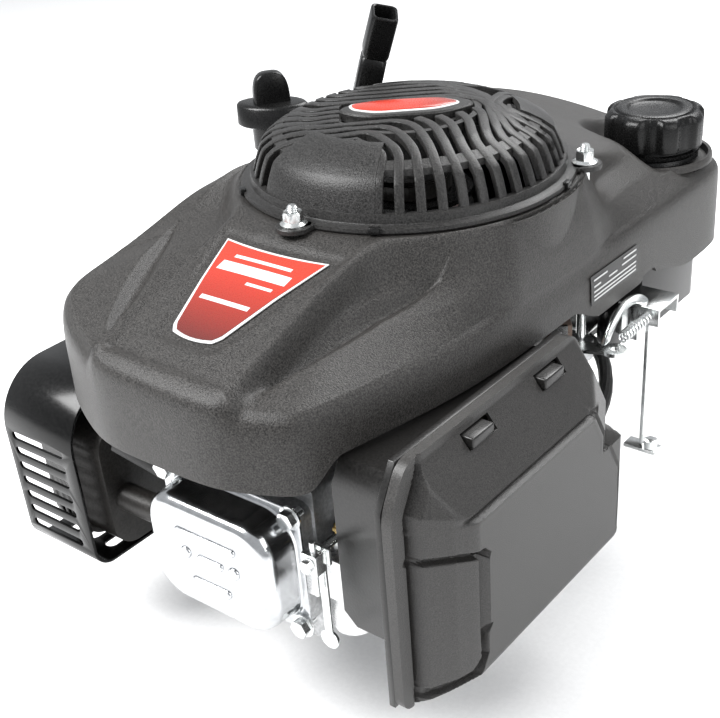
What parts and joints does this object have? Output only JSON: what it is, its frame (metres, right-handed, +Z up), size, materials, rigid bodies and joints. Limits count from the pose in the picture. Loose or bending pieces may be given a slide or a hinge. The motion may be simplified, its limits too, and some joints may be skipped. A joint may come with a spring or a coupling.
{
  "type": "small gasoline engine",
  "caption": "Vertical-shaft overhead-valve mower engine with recoil starter, side air cleaner, guarded muffler, fuel tank and tapped output shaft.",
  "frame": {"origin": "on the crankshaft's axis, in the plane of the mounting face under the sump", "axes": "+Z up along the crankshaft towards the starter, -Y towards the cylinder head, +X towards the air cleaner, -X towards the muffler"},
  "size_m": [0.334, 0.448, 0.358],
  "materials": {
    "cast_aluminium": "as cast",
    "machined_aluminium": "machined",
    "cast_iron": "honed",
    "steel": "ground",
    "zinc_plate": "zinc plated",
    "bright_plate": "bright plated",
    "brass": "plain",
    "shroud_plastic": "grained",
    "smooth_plastic": "satin",
    "gear_steel": "ground",
    "gloss_plastic": "gloss",
    "black_paint": "gloss black",
    "muffler_steel": "heat-proof satin",
    "rubber": "moulded",
    "ceramic": "glazed",
    "paper": "pleated",
    "rope": "braided",
    "friction": "moulded lining"
  },
  "bodies": {
    "block": {"crankcase": "cast_aluminium", "cylinder_sleeve": "cast_iron", "oil_sump": "cast_aluminium", "flange_bolts": "zinc_plate", "oil_seals": "rubber", "cylinder_head": "cast_aluminium", "head_bolts": "steel", "valve_springs": "steel", "rocker_stands": "steel", "valve_cover": "bright_plate", "spark_plug": "ceramic", "plug_boot": "rubber", "ignition_coil": "black_paint", "carburetor": "machined_aluminium", "throttle_bracket": "zinc_plate", "cable_clamp": "zinc_plate", "air_cleaner_base": "smooth_plastic", "filter_element": "paper", "muffler": "muffler_steel", "muffler_guard": "black_paint", "fuel_tank": "smooth_plastic", "fuel_line": "rubber", "shroud": "shroud_plastic", "starter_housing": "shroud_plastic", "housing_nuts": "zinc_plate", "recoil_spring": "steel", "starter_rope": "rope", "oil_filler_tube": "smooth_plastic", "brake_bracket": "zinc_plate", "brake_spring": "zinc_plate", "spring_cup": "black_paint"},
    "crank": {"crankshaft": "steel", "flywheel": "machined_aluminium", "cooling_fan": "smooth_plastic", "starter_cup": "steel", "flywheel_nut": "steel"},
    "rod": {"connecting_rod": "machined_aluminium", "crank_pin": "steel"},
    "piston_body": {"piston": "machined_aluminium", "piston_rings": "cast_iron", "wrist_pin": "steel"},
    "cam": {"camshaft": "steel"},
    "governor": {"governor_gear": "gear_steel"},
    "intake_follower": {"intake_lifter": "steel"},
    "exhaust_follower": {"exhaust_lifter": "steel"},
    "intake_rocker_body": {"intake_rocker": "steel"},
    "exhaust_rocker_body": {"exhaust_rocker": "steel"},
    "intake_valve_body": {"intake_valve": "steel"},
    "exhaust_valve_body": {"exhaust_valve": "steel"},
    "throttle": {"throttle_valve": "brass"},
    "choke": {"choke_valve": "brass"},
    "governor_lever": {"governor_arm": "zinc_plate"},
    "link": {"throttle_link": "zinc_plate"},
    "brake": {"brake_lever": "zinc_plate", "brake_pad": "friction"},
    "pulley": {"starter_pulley": "smooth_plastic"},
    "grip": {"starter_grip": "gloss_plastic"},
    "cap": {"fuel_cap": "gloss_plastic"},
    "dipstick_body": {"dipstick": "smooth_plastic"},
    "cleaner_cover": {"air_cleaner_cover": "shroud_plastic"}
  },
  "joints": [
    {"name": "crank_spin", "type": "hinge", "parent": "block", "child": "crank", "pos_m": [0, 0, 0], "axis": [0, 0, 1], "continuous": true},
    {"name": "camshaft_spin", "type": "hinge", "parent": "block", "child": "cam", "pos_m": [0.0495, 0.0125, 0], "axis": [0, 0, 1], "continuous": true},
    {"name": "governor_spin", "type": "hinge", "parent": "block", "child": "governor", "pos_m": [0.01434, 0.042, 0], "axis": [0, 0, 1], "continuous": true},
    {"name": "piston_slide", "type": "slide", "parent": "block", "child": "piston_body", "axis": [0, 1, 0], "range_m": [0, 0.051]},
    {"name": "rod_swing", "type": "hinge", "parent": "piston_body", "child": "rod", "pos_m": [0, -0.1175, 0.062], "axis": [0, 0, 1], "range_deg": [-16.1, 16.1]},
    {"name": "intake_lifter_slide", "type": "slide", "parent": "block", "child": "intake_follower", "axis": [0, -1, 0], "range_m": [0, 0.0045]},
    {"name": "intake_rocker_tilt", "type": "hinge", "parent": "block", "child": "intake_rocker_body", "pos_m": [0.014, -0.192, 0.083], "axis": [0, 0, -1], "range_deg": [0, 10.18]},
    {"name": "intake_valve_slide", "type": "slide", "parent": "block", "child": "intake_valve_body", "axis": [0, 1, 0], "range_m": [0, 0.0045], "deforming": ["valve_springs"]},
    {"name": "exhaust_lifter_slide", "type": "slide", "parent": "block", "child": "exhaust_follower", "axis": [0, -1, 0], "range_m": [0, 0.0045]},
    {"name": "exhaust_rocker_tilt", "type": "hinge", "parent": "block", "child": "exhaust_rocker_body", "pos_m": [0.014, -0.192, 0.041], "axis": [0, 0, -1], "range_deg": [0, 10.18]},
    {"name": "exhaust_valve_slide", "type": "slide", "parent": "block", "child": "exhaust_valve_body", "axis": [0, 1, 0], "range_m": [0, 0.0045]},
    {"name": "throttle_turn", "type": "hinge", "parent": "block", "child": "throttle", "pos_m": [0.063, -0.162, 0.087], "axis": [0, 0, 1], "range_deg": [-75, 0]},
    {"name": "governor_lever_turn", "type": "hinge", "parent": "block", "child": "governor_lever", "pos_m": [0.063, -0.01, 0.114], "axis": [0, 0, 1], "range_deg": [-75, 0]},
    {"name": "link_swing", "type": "hinge", "parent": "throttle", "child": "link", "pos_m": [0.075, -0.162, 0.087], "axis": [0, 0, 1], "range_deg": [0, 75]},
    {"name": "choke_turn", "type": "hinge", "parent": "block", "child": "choke", "pos_m": [0.0795, -0.162, 0.083], "axis": [0, 0, -1], "range_deg": [0, 75]},
    {"name": "brake_release", "type": "hinge", "parent": "block", "child": "brake", "pos_m": [0.082, 0.032, 0.114], "axis": [0, 0, 1], "range_deg": [0, 9], "deforming": ["brake_spring"]},
    {"name": "starter_pull", "type": "slide", "parent": "block", "child": "grip", "axis": [0, 0, 1], "range_m": [0, 0.6], "deforming": ["starter_rope"]},
    {"name": "pulley_spin", "type": "hinge", "parent": "block", "child": "pulley", "pos_m": [0, 0, 0.205], "axis": [0, 0, 1], "range_deg": [0, 1170]},
    {"name": "fuel_cap_lift", "type": "slide", "parent": "block", "child": "cap", "axis": [0, 0, 1], "range_m": [0, 0.04]},
    {"name": "dipstick_pull", "type": "slide", "parent": "block", "child": "dipstick_body", "axis": [0, 0, 1], "range_m": [0, 0.12]},
    {"name": "cleaner_cover_tilt", "type": "hinge", "parent": "block", "child": "cleaner_cover", "pos_m": [0.119, -0.09, 0.008], "axis": [0, 1, 0], "range_deg": [0, 55]}
  ],
  "couplings": [
    {"joint": "camshaft_spin", "follows": "crank_spin", "ratio": -0.5},
    {"joint": "governor_spin", "follows": "crank_spin", "ratio": 1.4286},
    {"joint": "intake_rocker_tilt", "follows": "intake_lifter_slide", "rad_per_m": 39.422},
    {"joint": "intake_valve_slide", "follows": "intake_lifter_slide", "ratio": 1},
    {"joint": "exhaust_rocker_tilt", "follows": "exhaust_lifter_slide", "rad_per_m": 39.422},
    {"joint": "exhaust_valve_slide", "follows": "exhaust_lifter_slide", "ratio": 1},
    {"joint": "governor_lever_turn", "follows": "throttle_turn", "ratio": 1},
    {"joint": "link_swing", "follows": "throttle_turn", "ratio": -1},
    {"joint": "pulley_spin", "follows": "starter_pull", "rad_per_m": 33.898}
  ]
}
